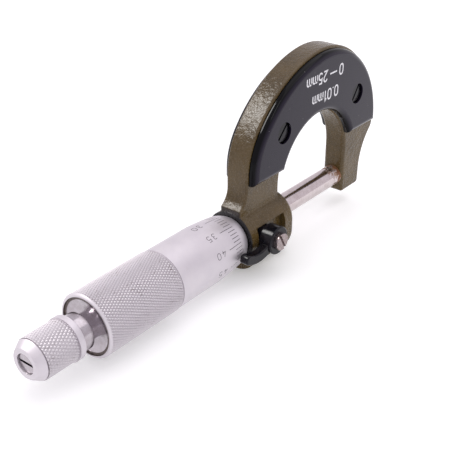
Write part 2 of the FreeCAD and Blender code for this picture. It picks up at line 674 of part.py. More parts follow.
def make_end_disc():
    """Dished, polished disc that closes the thimble's rear end."""
    front_x = max(END_DISC_X)
    rear_x = min(END_DISC_X)
    return turned(
        [
            (front_x, STEM_SHANK_R),
            (front_x, END_DISC_R),
            (rear_x + END_DISC_RIM_CHAMFER[0], END_DISC_R),
            (rear_x, END_DISC_R - END_DISC_RIM_CHAMFER[1]),
            (*END_DISC_DISH_ARC, rear_x + END_DISC_DISH, STEM_NECK_R + SMALL_CHAMFER),
            (rear_x + END_DISC_DISH, STEM_SHANK_R),
        ]
    )


# ---- ratchet stop ----------------------------------------------------------------------------
def tooth_prism(inner_r, outer_r, root_x, tip_x, width):
    """Radial saw tooth: upright on one flank and sloping on the other."""
    half = width / 2
    corners = [
        Vector(root_x, -half, inner_r),
        Vector(root_x, half, inner_r),
        Vector(tip_x, half, inner_r),
        Vector(root_x, -half, inner_r),
    ]
    face = Part.Face(Part.makePolygon(corners))
    return face.extrude(Vector(0, 0, outer_r - inner_r))


def tooth_ring(inner_r, outer_r, root_x, tip_x, width):
    """The saw teeth of one ratchet face, spread evenly round the axis."""
    teeth = []
    for index in range(TOOTH_COUNT):
        tooth = tooth_prism(inner_r, outer_r, root_x, tip_x, width)
        tooth.rotate(ORIGIN, X_AXIS, 360 / TOOTH_COUNT * index)
        teeth.append(tooth)
    return teeth


def make_ratchet_stem():
    """Stem that screws into the spindle's tail: neck, toothed collar and spigot."""
    collar_front_x = max(STEM_COLLAR_X)
    collar_rear_x = min(STEM_COLLAR_X)
    neck_x = min(END_DISC_X) + END_DISC_DISH
    stem = turned(
        [
            (STEM_SHANK_START_X, 0),
            (STEM_SHANK_START_X, STEM_SHANK_R),
            (neck_x, STEM_SHANK_R),
            (neck_x, STEM_NECK_R),
            (collar_front_x, STEM_NECK_R),
            (collar_front_x, STEM_COLLAR_R - TURNED_CHAMFER),
            (collar_front_x - TURNED_CHAMFER, STEM_COLLAR_R),
            (collar_rear_x, STEM_COLLAR_R),
            (collar_rear_x, STEM_SPIGOT_R),
            (STEM_END_X, STEM_SPIGOT_R),
            (STEM_END_X, 0),
        ]
    )
    inner_r, outer_r = TOOTH_RING_R
    notches = tooth_ring(inner_r, outer_r, collar_rear_x, collar_rear_x + TOOTH_DEPTH, TOOTH_WIDTH)
    tapped = cylinder_x(STEM_TAPPED_R, STEM_END_X - CUT_OVERRUN, STEM_END_X + STEM_TAPPED_DEPTH)
    return stem.cut(notches + [tapped])


def make_ratchet_wheel():
    """Toothed ring, keyed in the knob by two lugs, that clicks over the collar's notches."""
    face_x = KNOB_START_X - WHEEL_CLEARANCE
    inner_r, outer_r = TOOTH_RING_R
    ring_r = KNOB_CAVITY_R - RUNNING_CLEARANCE
    bore_r = STEM_SPIGOT_R + RUNNING_CLEARANCE
    bore = cylinder_x(bore_r, face_x + CUT_OVERRUN, WHEEL_BACK_X - CUT_OVERRUN)
    ring = cylinder_x(ring_r, face_x, WHEEL_BACK_X).cut(bore)
    half = WHEEL_LUG_WIDTH / 2
    reach = ring_r + WHEEL_LUG_REACH
    lug_root = ring_r - WHEEL_LUG_REACH
    lugs = []
    for side in (-1, 1):
        lugs.append(block((face_x, WHEEL_BACK_X), (-half, half), (side * lug_root, side * reach)))
    tip_x = face_x + TOOTH_DEPTH
    width = TOOTH_WIDTH - 2 * WHEEL_CLEARANCE
    margin = WHEEL_CLEARANCE * 2
    teeth = tooth_ring(inner_r + margin, outer_r - margin, face_x, tip_x, width)
    return ring.fuse(lugs + teeth).removeSplitter()


def make_ratchet_spring():
    """Small coil spring that keeps the toothed ring on the collar."""
    length = abs(KNOB_CAVITY_END_X - WHEEL_BACK_X) - 2 * SPRING_WIRE_R
    helix = Part.makeHelix(length / SPRING_TURNS, length, SPRING_MEAN_R)
    start = Vector(SPRING_MEAN_R, 0, 0)
    rise = length / SPRING_TURNS / (2 * math.pi)
    circle = Part.Wire(Part.makeCircle(SPRING_WIRE_R, start, Vector(0, SPRING_MEAN_R, rise)))
    coil = Part.Wire(helix.Edges).makePipeShell([circle], True, True)
    coil.rotate(ORIGIN, Y_AXIS, 90)
    coil.translate(Vector(KNOB_CAVITY_END_X + SPRING_WIRE_R, 0, 0))
    return coil


def make_ratchet_knob():
    """Knob: plain band, knurled grip and conical nose, hollow for the wheel and spring."""
    nose_x, nose_r = KNOB_NOSE_START
    end_x, end_r = KNOB_NOSE_END
    bore_r = STEM_SPIGOT_R + RUNNING_CLEARANCE
    knob = turned(
        [
            (KNOB_START_X, KNOB_CAVITY_R),
            (KNOB_START_X, KNOB_BAND_R - TURNED_CHAMFER),
            (KNOB_START_X - TURNED_CHAMFER, KNOB_BAND_R),
            (KNOB_GRIP_START_X, KNOB_BAND_R),
            (KNOB_GRIP_START_X, KNOB_GRIP_R),
            (KNOB_GRIP_END_X, KNOB_GRIP_R),
            (KNOB_GRIP_END_X, KNOB_GROOVE_R),
            (nose_x, KNOB_GROOVE_R),
            (nose_x, nose_r),
            (end_x + TURNED_CHAMFER, end_r + SMALL_CHAMFER),
            (end_x, end_r - SMALL_CHAMFER),
            (end_x, KNOB_SCREW_HOLE_R),
            (KNOB_SCREW_SEAT_X, KNOB_SCREW_HOLE_R),
            (KNOB_SCREW_SEAT_X, bore_r),
            (KNOB_CAVITY_END_X, bore_r),
            (KNOB_CAVITY_END_X, KNOB_CAVITY_R),
        ]
    )
    half = WHEEL_LUG_WIDTH / 2 + RUNNING_CLEARANCE
    reach = KNOB_CAVITY_R + WHEEL_LUG_REACH
    keyway_end_x = WHEEL_BACK_X - KEYWAY_OVERTRAVEL
    keyway = block((KNOB_START_X + CUT_OVERRUN, keyway_end_x), (-half, half), (-reach, reach))
    return knob.cut(keyway)


def make_ratchet_screw():
    """Slotted end screw, sunk in the nose, that keeps the knob on the stem."""
    outer_x = min(END_SCREW_HEAD_X)
    inner_x = max(END_SCREW_HEAD_X)
    head = cylinder_x(END_SCREW_HEAD_R, outer_x, inner_x)
    neck = cylinder_x(STEM_SPIGOT_R, inner_x, STEM_END_X)
    shank = cylinder_x(STEM_TAPPED_R, STEM_END_X, STEM_END_X + STEM_TAPPED_DEPTH - SCREW_TIP_GAP)
    half = SLOT_WIDTH / 2
    reach = END_SCREW_HEAD_R
    slot = block((outer_x, outer_x + END_SCREW_SLOT_DEPTH), (-reach, reach), (-half, half))
    return head.fuse([neck, shank]).removeSplitter().cut(slot)


# ---- assembly --------------------------------------------------------------------------------
PARTS = {
    "frame": make_frame,
    "anvil": make_anvil,
    "insulating_plate_front": lambda: make_plate(-1),
    "insulating_plate_rear": lambda: make_plate(1),
    "plate_screws_front": lambda: make_plate_screws(-1),
    "plate_screws_rear": lambda: make_plate_screws(1),
    "lock_shoe": make_lock_shoe,
    "lock_stud": make_lock_stud,
    "lock_lever": make_lock_lever,
    "lock_screw": make_lock_screw,
    "inner_sleeve": make_inner_sleeve,
    "adjusting_nut": make_adjusting_nut,
    "graduated_sleeve": make_graduated_sleeve,
    "spindle": make_spindle,
    "thimble": make_thimble,
    "taper_adapter": make_taper_adapter,
    "thimble_end_disc": make_end_disc,
    "ratchet_stem": make_ratchet_stem,
    "ratchet_wheel": make_ratchet_wheel,
    "ratchet_spring": make_ratchet_spring,
    "ratchet_knob": make_ratchet_knob,
    "ratchet_screw": make_ratchet_screw,
}

os.makedirs("parts", exist_ok=True)
for node, make in PARTS.items():
    shape = make()
    print(node, "valid", shape.isValid(), "solids", len(shape.Solids), "volume", round(shape.Volume, 2))
    shape.exportStep(os.path.join("parts", node + ".step"))
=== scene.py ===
import json
import math

import bmesh
import bpy
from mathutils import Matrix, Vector


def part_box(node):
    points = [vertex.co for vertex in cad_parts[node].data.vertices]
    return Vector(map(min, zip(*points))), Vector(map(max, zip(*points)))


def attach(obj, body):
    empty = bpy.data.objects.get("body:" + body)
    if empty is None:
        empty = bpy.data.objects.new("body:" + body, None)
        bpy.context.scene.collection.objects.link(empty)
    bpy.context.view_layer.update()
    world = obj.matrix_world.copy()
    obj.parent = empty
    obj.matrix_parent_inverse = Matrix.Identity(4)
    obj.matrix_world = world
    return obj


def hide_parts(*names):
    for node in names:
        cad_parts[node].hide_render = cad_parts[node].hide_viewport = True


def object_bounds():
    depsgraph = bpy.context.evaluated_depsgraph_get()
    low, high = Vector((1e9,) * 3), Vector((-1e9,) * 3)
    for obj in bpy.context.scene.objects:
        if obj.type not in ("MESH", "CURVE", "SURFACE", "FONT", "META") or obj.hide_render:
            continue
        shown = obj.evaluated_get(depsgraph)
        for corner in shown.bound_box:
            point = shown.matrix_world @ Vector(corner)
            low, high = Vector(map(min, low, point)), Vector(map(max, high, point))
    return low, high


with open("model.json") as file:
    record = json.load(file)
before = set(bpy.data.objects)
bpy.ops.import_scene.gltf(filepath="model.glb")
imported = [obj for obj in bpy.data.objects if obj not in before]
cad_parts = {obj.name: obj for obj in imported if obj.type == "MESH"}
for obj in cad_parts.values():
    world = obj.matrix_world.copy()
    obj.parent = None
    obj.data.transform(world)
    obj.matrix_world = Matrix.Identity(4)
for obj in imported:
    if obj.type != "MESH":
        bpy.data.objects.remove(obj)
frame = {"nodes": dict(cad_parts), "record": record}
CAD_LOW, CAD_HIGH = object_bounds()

# Outside micrometer, 0 to 25 mm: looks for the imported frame, in metres.
# Turned parts are described by (x, radius) in millimetres. Angles round the spindle axis are counted
# from +Z towards -Y, so that the thimble's numbers rise with the angle.

MM = 0.001

# ---- camera, floor and lights ----------------------------------------------------------------
CAMERA_AZIMUTH = -51.31
CAMERA_ELEVATION = 28.87
CAMERA_DISTANCE = 0.2526
CAMERA_LENS = 71.68
CAMERA_SENSOR = 36.0
CAMERA_CLIP = (0.01, 20.0)
AIM_BEHIND_THIMBLE_FRONT = 0.00147
AIM_HEIGHT = 0.0045
FLOOR_SIZE = 6.0
FLOOR_COLOUR = (0.93, 0.94, 0.93)
FLOOR_TINT = 0.01
FLOOR_GLOW = 0.26
WORLD_COLOUR = (0.985, 0.945, 1.0)
WORLD_STRENGTH = 0.92
# Name, direction from the object, distance, width, height, radiance, colour, and whether it lights
# matt surfaces too, or only shows in shiny ones.
SOFTBOXES = (
    ("overhead", (0.3, -0.1, 0.95), 0.9, 0.9, 0.8, 0.9, (1.0, 0.985, 0.99), True),
    ("rear_left", (-0.34, 0.55, 0.76), 0.7, 0.26, 0.2, 20.0, (1.0, 0.985, 0.96), False),
    ("strip", (-0.3, -0.38, 0.87), 0.8, 0.05, 0.3, 7.0, (1.0, 0.99, 1.0), False),
)

# ---- thimble, in millimetres and degrees ------------------------------------------------------
# An (x, radius) pair counts its x back from the front edge; REAR_ARC counts forwards from the rear.
THIMBLE_COLUMNS_BETWEEN = 4
DIVISIONS = 50
MAJOR_EVERY = 5
ZERO_ANGLE = 139.23
DIVISION_WIDTH = 0.17
DIVISION_DEPTH = 0.05
DIVISION_FRONT = 3.9
MINOR_LENGTH = 3.1
MAJOR_LENGTH = 5.8
LIP_BORE_R = 6.4
LIP_R = 6.65
LIP_ARC = (1.5, 7.42)
BEVEL_FRONT = (3.8, 7.97)
BEVEL_ARC = (8.0, 8.43)
BEVEL_END = (12.3, 8.71)
GRIP_GROOVE_START = 29.3
GRIP_START = 29.65
GRIP_CORE_R = 8.5
GRIP_END_LAND = 0.5
GRIP_LAND_R = 8.84
REAR_ARC = (0.35, 8.7)
REAR_R = 8.3
REAR_RECESS_R = 7.95
REAR_RECESS_DEPTH = 0.4
ADAPTER_BORE_R = 7.2
ADAPTER_LENGTH = 13.0
GRIP_STARTS = 70
GRIP_PERIODS = 17
GRIP_TIP_R = 8.9
GRIP_VALLEY_R = 8.63
# Share of a diamond that its blunt tip covers, how far a knurled sleeve reaches inside the plain core,
# and how far ahead of its front cut the pattern starts, as a share of its period.
KNURL_INSET = 0.12
KNURL_OVERLAP = 0.1
KNURL_LEAD = 1 / 7

# ---- ratchet knob, in millimetres back from its front face ------------------------------------
KNOB_BAND_R = 6.0
KNOB_BAND_LENGTH = 1.8
KNOB_GRIP_END = 11.2
KNOB_CORE_R = 5.2
KNOB_NOSE_START = (11.5, 5.45)
KNOB_NOSE_END_R = 4.15
KNOB_CAVITY_R = 4.6
KNOB_CAVITY_END = 6.4
KNOB_SCREW_SEAT = 10.1
KNOB_SCREW_HOLE_R = 2.8
KNOB_BORE_R = 2.55
KNOB_CHAMFER = 0.2
KNOB_COLUMNS = 160
KNOB_STARTS = 40
KNOB_PERIODS = 6
KNOB_TIP_R = 5.7
KNOB_VALLEY_R = 5.5

# ---- lettering -------------------------------------------------------------------------------
DIGIT_HEIGHT = 1.75
DIGIT_STROKE = 0.16
DIGIT_STRETCH = 1.24
DIGIT_GAP = 0.5
DIGIT_FRONT = 11.55
INK_PROUD = 0.008
INK_SUNK = 0.04
# Text, height of its middle, start behind the anvil's face, letter height.
PLATE_ROWS = (("0-25mm", 39.2, 4.0, 3.1), ("0.01mm", 33.2, 6.2, 3.1))
PLATE_LETTER_GAP = 0.25
PLATE_STROKE_SHARE = 0.15
SLEEVE_LETTER_GAP = 0.2
SLEEVE_LENGTH_MM = 25
HALVES_PER_NUMBER = 10
DATUM_RUN_ON = (0.5, 1.0)
SLEEVE_MARK_STROKE = 0.16
SLEEVE_MARK_SHORT = 1.0
SLEEVE_MARK_LONG = 1.7
SLEEVE_DIGIT_HEIGHT = 1.5
SLEEVE_NUMBER_GAP = 0.45
CURVE_STEP_DEG = 15
LINE_STEP = 0.4
MITRE_LIMIT = 0.5
DASH_GAP = 0.26

# ---- places of looks on the object, in millimetres --------------------------------------------
# The enamel goes from olive to black painted shade at the boss's sleeve end along X, and the spindle's rust
# from none to most.
ENAMEL_SHADED_END_X = (-49.5, -49.85)
RUSTY_X = (-5.0, 3.5)
# The plates' rounded edge, painted blacker and less shiny as shade, as depths under their faces.
PLATE_SHADED_EDGE = (0.8, 0.2)
# Turning marks are longer round the axis than along it.
TURNED = (1.0, 60.0, 60.0)
GROUND = (1.0, 40.0, 40.0)

# ---- meshes ----------------------------------------------------------------------------------
SMOOTH_ANGLE = math.radians(28)
ARC_STEPS = 10
SAME_PLACE = 1e-6
CUT_TOLERANCE = 1e-9
# Materials of the thimble's body after its chrome, and the rows of faces in the gap round its end disc.
INK_INDEX = 1
GAP_DARK_INDEX = 2
GAP_ROWS = 2


# ---- small helpers ---------------------------------------------------------------------------
def on_axis(x_mm, radius_mm, angle):
    """Point at an angle, in radians, round the spindle axis."""
    return Vector((x_mm, -radius_mm * math.sin(angle), radius_mm * math.cos(angle))) * MM


def circle_through(a, b, c):
    """Centre of the circle through three plane points."""
    ax, ay = a
    bx, by = b
    cx, cy = c
    d = 2 * (ax * (by - cy) + bx * (cy - ay) + cx * (ay - by))
    sa, sb, sc = ax * ax + ay * ay, bx * bx + by * by, cx * cx + cy * cy
    return (
        (sa * (by - cy) + sb * (cy - ay) + sc * (ay - by)) / d,
        (sa * (cx - bx) + sb * (ax - cx) + sc * (bx - ax)) / d,
    )


def arc_through(start, middle, end, steps=ARC_STEPS):
    """Points of an arc, without its first point."""
    centre = circle_through(start, middle, end)
    radius = math.dist(centre, start)
    first = math.atan2(start[1] - centre[1], start[0] - centre[0])
    last = math.atan2(end[1] - centre[1], end[0] - centre[0])
    sweep = (last - first + math.pi) % (2 * math.pi) - math.pi
    points = []
    for step in range(1, steps + 1):
        angle = first + sweep * step / steps
        points.append((centre[0] + radius * math.cos(angle), centre[1] + radius * math.sin(angle)))
    return points


def lathe(mesh, profile, angles):
    """Ring of quads about the spindle axis from a closed (x, radius) profile, as rows[segment][column]."""
    rings = []
    for x, radius in profile:
        rings.append([mesh.verts.new(on_axis(x, radius, angle)) for angle in angles])
    rows = []
    for index, ring in enumerate(rings):
        following = rings[(index + 1) % len(rings)]
        row = []
        for column in range(len(angles)):
            right = (column + 1) % len(angles)
            row.append(mesh.faces.new((ring[column], ring[right], following[right], following[column])))
        rows.append(row)
    return rows


def even_angles(count):
    return [2 * math.pi * index / count for index in range(count)]


def add_piece(name, mesh, body, materials, smooth=True):
    """Turns a bmesh into a piece that rides on a CAD body."""
    bmesh.ops.recalc_face_normals(mesh, faces=mesh.faces)
    data = bpy.data.meshes.new(name)
    mesh.to_mesh(data)
    mesh.free()
    for material in materials:
        data.materials.append(material)
    if smooth:
        data.shade_smooth()
        data.set_sharp_from_angle(angle=SMOOTH_ANGLE)
    piece = bpy.data.objects.new(name, data)
    bpy.context.scene.collection.objects.link(piece)
    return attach(piece, body)


# ---- knurl -----------------------------------------------------------------------------------
def knurl_point(starts, period, row_sum, row_difference, radius, origin_x):
    """Point of the diamond grid: two helix families cross where both row counts are whole."""
    angle = math.pi * row_sum / starts
    return on_axis(origin_x - row_difference * period / 2, radius, angle)


def knurl_diamonds(mesh, starts, period, rows, tip_r, valley_r, origin_x):
    """Blunt four-sided pyramids over the rows between two valleys, one diamond at a time."""
    corners = {}

    def corner(row_sum, row_difference):
        key = (row_sum % (2 * starts), row_difference)
        if key not in corners:
            place = knurl_point(starts, period, row_sum, row_difference, valley_r, origin_x)
            corners[key] = mesh.verts.new(place)
        return corners[key]

    for row in range(-1, rows + 2):
        for column in range(row % 2, 2 * starts, 2):
            middle = column + 1
            ring = ((column, row), (middle, row + 1), (column + 2, row), (middle, row - 1))
            base = [corner(*place) for place in ring]
            tips = []
            for row_sum, row_difference in ring:
                tip_sum = middle + (row_sum - middle) * KNURL_INSET
                tip_difference = row + (row_difference - row) * KNURL_INSET
                place = knurl_point(starts, period, tip_sum, tip_difference, tip_r, origin_x)
                tips.append(mesh.verts.new(place))
            mesh.faces.new(tips)
            for index in range(4):
                following = (index + 1) % 4
                mesh.faces.new((base[index], base[following], tips[following], tips[index]))


def trim_and_close(mesh, low_x, high_x, core_r):
    """Cuts the knurl square at both ends and closes it down to a plain core."""
    for x, side in ((low_x, -1), (high_x, 1)):
        geometry = mesh.verts[:] + mesh.edges[:] + mesh.faces[:]
        bmesh.ops.bisect_plane(
            mesh,
            geom=geometry,
            plane_co=(x * MM, 0, 0),
            plane_no=(side, 0, 0),
            clear_outer=True,
            dist=CUT_TOLERANCE,
        )
    rims = []
    for x in (low_x, high_x):
        rim = [v for v in mesh.verts if v.is_boundary and abs(v.co.x - x * MM) < SAME_PLACE]
        rim.sort(key=lambda v: math.atan2(-v.co.y, v.co.z))
        core = []
        for vertex in rim:
            angle = math.atan2(-vertex.co.y, vertex.co.z)
            core.append(mesh.verts.new(on_axis(x, core_r, angle)))
        rims.append(core)
        for index in range(len(rim)):
            following = (index + 1) % len(rim)
            mesh.faces.new((rim[index], rim[following], core[following], core[index]))
    front, rear = rims
    for index in range(len(front)):
        following = (index + 1) % len(front)
        mesh.faces.new((front[index], front[following], rear[following], rear[index]))


def make_knurl(name, body, material, pattern, ends, radii):
    """Knurled sleeve between two planes; the period is set so that both ends cut it alike.

    The pattern is the number of starts round the axis and of periods along it, the ends are the front
    and rear x, and the radii are those of the tips, the valleys and the core.
    """
    starts, periods = pattern
    front_x, rear_x = ends
    tip_r, valley_r, core_r = radii
    period = (front_x - rear_x) / periods
    mesh = bmesh.new()
    knurl_diamonds(mesh, starts, period, 2 * periods, tip_r, valley_r, front_x + period * KNURL_LEAD)
    trim_and_close(mesh, rear_x, front_x, core_r)
    return add_piece(name, mesh, body, [material], smooth=False)


# ---- stroke lettering ------------------------------------------------------------------------
# Glyphs on a cell one unit high. A point is (x, y); an arc is (centre x, centre y, x radius,
# y radius, from degrees, to degrees). The number is the glyph's width.
GLYPHS = {
    "0": (0.56, [[(0.28, 0.68, 0.28, 0.32, 180, 0), (0.28, 0.32, 0.28, 0.32, 0, -180), (0.0, 0.68)]]),
    "1": (0.34, [[(0.0, 0.8), (0.2, 1.0), (0.2, 0.0)]]),
    "2": (0.56, [[(0.28, 0.71, 0.27, 0.29, 165, -38), (0.0, 0.0), (0.56, 0.0)]]),
    "3": (0.54, [[(0.27, 0.76, 0.24, 0.24, 150, -90), (0.27, 0.26, 0.27, 0.26, 90, -150)]]),
    "4": (0.58, [[(0.36, 1.0), (0.0, 0.27), (0.58, 0.27)], [(0.42, 0.58), (0.42, 0.0)]]),
    "5": (0.56, [[(0.52, 1.0), (0.1, 1.0), (0.06, 0.56), (0.28, 0.32, 0.28, 0.32, 118, -150)]]),
    "m": (
        0.72,
        [
            [(0.0, 0.0), (0.0, 0.72)],
            [(0.18, 0.52, 0.18, 0.18, 170, 0), (0.36, 0.0)],
            [(0.54, 0.52, 0.18, 0.18, 170, 0), (0.72, 0.0)],
        ],
    ),
    ".": (0.12, [[(0.06, 0.0), (0.06, 0.12)]]),
    "-": (1.15, [[(0.0, 0.48), (1.15, 0.48)]]),
}


def stroke_points(stroke):
    """Points of one stroke, with its arcs sampled."""
    points = []
    for item in stroke:
        if len(item) == 2:
            points.append(item)
            continue
        centre_x, centre_y, radius_x, radius_y, start, end = item
        steps = max(2, math.ceil(abs(end - start) / CURVE_STEP_DEG))
        for step in range(steps + 1):
            angle = math.radians(start + (end - start) * step / steps)
            points.append((centre_x + radius_x * math.cos(angle), centre_y + radius_y * math.sin(angle)))
    distinct = points[:1]
    for point in points[1:]:
        if math.dist(point, distinct[-1]) > SAME_PLACE:
            distinct.append(point)
    return distinct


def divided(points, step):
    """The same line with points no further apart than step."""
    fine = [points[0]]
    for start, end in zip(points, points[1:]):
        count = max(1, math.ceil(math.dist(start, end) / step))
        for index in range(1, count + 1):
            share = index / count
            fine.append((start[0] + (end[0] - start[0]) * share, start[1] + (end[1] - start[1]) * share))
    return fine


def ribbon(mesh, points, width, place):
    """Thin closed strip of ink along a line; place(u, v, height) puts a point on the surface."""
    closed = math.dist(points[0], points[-1]) < SAME_PLACE
    line = [Vector(point) for point in points]
    if closed:
        line = line[:-1]
    count = len(line)
    sections = []
    for index, point in enumerate(line):
        before = line[index - 1] if closed or index else point
        after = line[(index + 1) % count] if closed or index < count - 1 else point
        arriving = (point - before).normalized() if point != before else (after - point).normalized()
        leaving = (after - point).normalized() if after != point else arriving
        along = (arriving + leaving).normalized()
        across = Vector((-along.y, along.x)) * width / 2 / max(MITRE_LIMIT, along.dot(arriving))
        section = []
        for side, height in ((1, INK_PROUD), (1, -INK_SUNK), (-1, -INK_SUNK), (-1, INK_PROUD)):
            spot = point + across * side
            section.append(mesh.verts.new(place(spot.x, spot.y, height)))
        sections.append(section)
    spans = count if closed else count - 1
    for index in range(spans):
        here, there = sections[index], sections[(index + 1) % count]
        for corner in range(4):
            following = (corner + 1) % 4
            mesh.faces.new((here[corner], here[following], there[following], there[corner]))
    if not closed:
        mesh.faces.new(sections[0])
        mesh.faces.new(sections[-1])


def text_width(text, gap):
    """Width of a line of text, for a height of one."""
    width = gap * (len(text) - 1)
    for letter in text:
        width += GLYPHS[letter][0] + (2 * DASH_GAP if letter == "-" else 0)
    return width


def write_text(mesh, text, height, stroke_width, gap, place, stretch=1.0):
    """Writes text from u = 0 on, with its baseline on v = 0; stretch widens its letters."""
    cursor = 0.0
    for letter in text:
        width, strokes = GLYPHS[letter]
        cursor += DASH_GAP if letter == "-" else 0
        for stroke in strokes:
            points = [((x * stretch + cursor) * height, y * height) for x, y in stroke_points(stroke)]
            ribbon(mesh, divided(points, LINE_STEP), stroke_width, place)
        cursor += width * stretch + gap + (DASH_GAP if letter == "-" else 0)


# ---- node helpers ----------------------------------------------------------------------------
class Surface:
    """A Principled material with short calls for its procedural detail."""

    def __init__(self, name, **inputs):
        self.material = bpy.data.materials.new(name)
        self.material.use_nodes = True
        self.nodes = self.material.node_tree.nodes
        self.links = self.material.node_tree.links
        self.shader = self.nodes["Principled BSDF"]
        for key, value in inputs.items():
            self.shader.inputs[key.replace("_", " ")].default_value = value
        self.place = self.nodes.new("ShaderNodeTexCoord").outputs["Object"]
        self.normal = None

    def node(self, kind, values=(), links=()):
        made = self.nodes.new(kind)
        for key, value in dict(values).items():
            made.inputs[key].default_value = value
        for key, source in dict(links).items():
            self.links.new(source, made.inputs[key])
        return made

    def noise(self, grain_mm, detail=2.0, roughness=0.5, stretch=None, seed=0.0):
        """Noise whose grain has a real size; stretch is (x, y, z) multipliers of that size."""
        mapping = self.node("ShaderNodeMapping", {"Location": (seed, seed, seed)}, {"Vector": self.place})
        if stretch:
            mapping.inputs["Scale"].default_value = [1 / value for value in stretch]
        values = {"Scale": 1 / (grain_mm * MM), "Detail": detail, "Roughness": roughness}
        return self.node("ShaderNodeTexNoise", values, {"Vector": mapping.outputs["Vector"]}).outputs["Fac"]

    def cells(self, size_mm):
        """Distance from the nearest of points scattered about this far apart."""
        values = {"Scale": 1 / (size_mm * MM)}
        return self.node("ShaderNodeTexVoronoi", values, {"Vector": self.place}).outputs["Distance"]

    def remap(self, value, low, high, to_low=0.0, to_high=1.0):
        values = {"From Min": low, "From Max": high, "To Min": to_low, "To Max": to_high}
        return self.node("ShaderNodeMapRange", values, {"Value": value}).outputs["Result"]

    def maths(self, operation, first, second=0.0):
        """Result of an operation on numbers or sockets."""
        made = self.node("ShaderNodeMath")
        made.operation = operation
        for index, value in enumerate((first, second)):
            if isinstance(value, (int, float)):
                made.inputs[index].default_value = value
            else:
                self.links.new(value, made.inputs[index])
        return made.outputs["Value"]

    def mix(self, share, first, second):
        """Colour between two; each is a colour or a socket."""
        made = self.nodes.new("ShaderNodeMix")
        made.data_type = "RGBA"
        self.links.new(share, made.inputs["Factor"])
        sockets = [socket for socket in made.inputs if socket.type == "RGBA"]
        for socket, value in zip(sockets, (first, second)):
            if isinstance(value, tuple):
                socket.default_value = (*value, 1.0)
            else:
                self.links.new(value, socket)
        return next(socket for socket in made.outputs if socket.type == "RGBA")

    def axis(self, name):
        split = self.node("ShaderNodeSeparateXYZ", links={"Vector": self.place})
        return split.outputs[name]

    def radius(self):
        """Distance from the spindle axis, in metres."""
        y, z = self.axis("Y"), self.axis("Z")
        squares = self.maths("ADD", self.maths("MULTIPLY", y, y), self.maths("MULTIPLY", z, z))
        return self.maths("POWER", squares, 0.5)

    def bump(self, height, depth_mm, strength=1.0):
        values = {"Strength": strength, "Distance": depth_mm * MM}
        links = {"Height": height}
        if self.normal:
            links["Normal"] = self.normal
        self.normal = self.node("ShaderNodeBump", values, links).outputs["Normal"]

    def finish(self, **links):
        for key, socket in links.items():
            self.links.new(socket, self.shader.inputs[key.replace("_", " ")])
        if self.normal:
            self.links.new(self.normal, self.shader.inputs["Normal"])
        return self.material


# ---- materials -------------------------------------------------------------------------------
def olive_enamel():
    """Hammered stoving enamel over a casting: wrinkled, glossy, browner on the high spots."""
    surface = Surface("olive_enamel", Specular_IOR_Level=0.4)
    blotch = surface.noise(7.0, detail=4, roughness=0.6)
    grain = surface.noise(0.5, detail=3, roughness=0.65, seed=3.1)
    wrinkle = surface.noise(1.0, detail=3, roughness=0.6, seed=1.7)
    ripple = surface.noise(2.6, detail=2, roughness=0.5, seed=5.2)
    broad = surface.mix(surface.remap(blotch, 0.35, 0.65), (0.052, 0.032, 0.006), (0.086, 0.055, 0.014))
    colour = surface.mix(surface.remap(grain, 0.4, 0.75), broad, (0.098, 0.064, 0.028))
    # Painted shade: the sleeve end of the boss is painted black for the shade in the narrow gap next to the
    # thimble's lip.
    shaded_end = surface.remap(surface.axis("X"), ENAMEL_SHADED_END_X[0] * MM, ENAMEL_SHADED_END_X[1] * MM)
    colour = surface.mix(shaded_end, colour, (0.008, 0.007, 0.008))
    gloss = surface.remap(grain, 0.3, 0.7, 0.16, 0.34)
    surface.bump(ripple, 0.3, 0.5)
    surface.bump(wrinkle, 0.22, 0.9)
    surface.bump(grain, 0.02, 0.4)
    return surface.finish(Base_Color=colour, Roughness=gloss)


def black_moulding():
    """Glossy black moulding with a few specks of dust; its rounded edge is painted blacker and less shiny
    as painted shade, standing in for a dark reflection.
    """
    surface = Surface("black_moulding")
    grain = surface.noise(0.12, detail=2)
    haze = surface.noise(9.0, detail=3, roughness=0.6, seed=0.6)
    speck = surface.cells(2.4)
    dust = surface.remap(speck, 0.05, 0.035)
    depth = surface.maths("ABSOLUTE", surface.axis("Y"))
    plate_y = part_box("insulating_plate_rear")[1].y
    face_vs_shaded_edge = surface.remap(depth, plate_y - PLATE_SHADED_EDGE[0] * MM, plate_y - PLATE_SHADED_EDGE[1] * MM)
    # Painted shade: the rounded edge gets a blacker colour and a weaker specular than the face.
    plain = surface.mix(face_vs_shaded_edge, (0.0012, 0.0012, 0.002), (0.008, 0.005, 0.015))
    colour = surface.mix(dust, plain, (0.16, 0.15, 0.15))
    gloss = surface.remap(haze, 0.3, 0.7, 0.06, 0.1)
    specular = surface.remap(face_vs_shaded_edge, 0.0, 1.0, 0.12, 0.26)
    surface.bump(grain, 0.002, 0.5)
    return surface.finish(Base_Color=colour, Roughness=gloss, Specular_IOR_Level=specular)


def blackened_steel():
    """Black oxide on steel, thinner and browner in places."""
    surface = Surface("blackened_steel", Specular_IOR_Level=0.2)
    cloud = surface.noise(1.6, detail=4, roughness=0.65)
    grain = surface.noise(0.1, detail=2)
    colour = surface.mix(surface.remap(cloud, 0.4, 0.7), (0.005, 0.005, 0.008), (0.014, 0.011, 0.013))
    gloss = surface.remap(cloud, 0.3, 0.7, 0.12, 0.24)
    surface.bump(cloud, 0.02, 0.4)
    surface.bump(grain, 0.005, 0.5)
    return surface.finish(Base_Color=colour, Roughness=gloss)


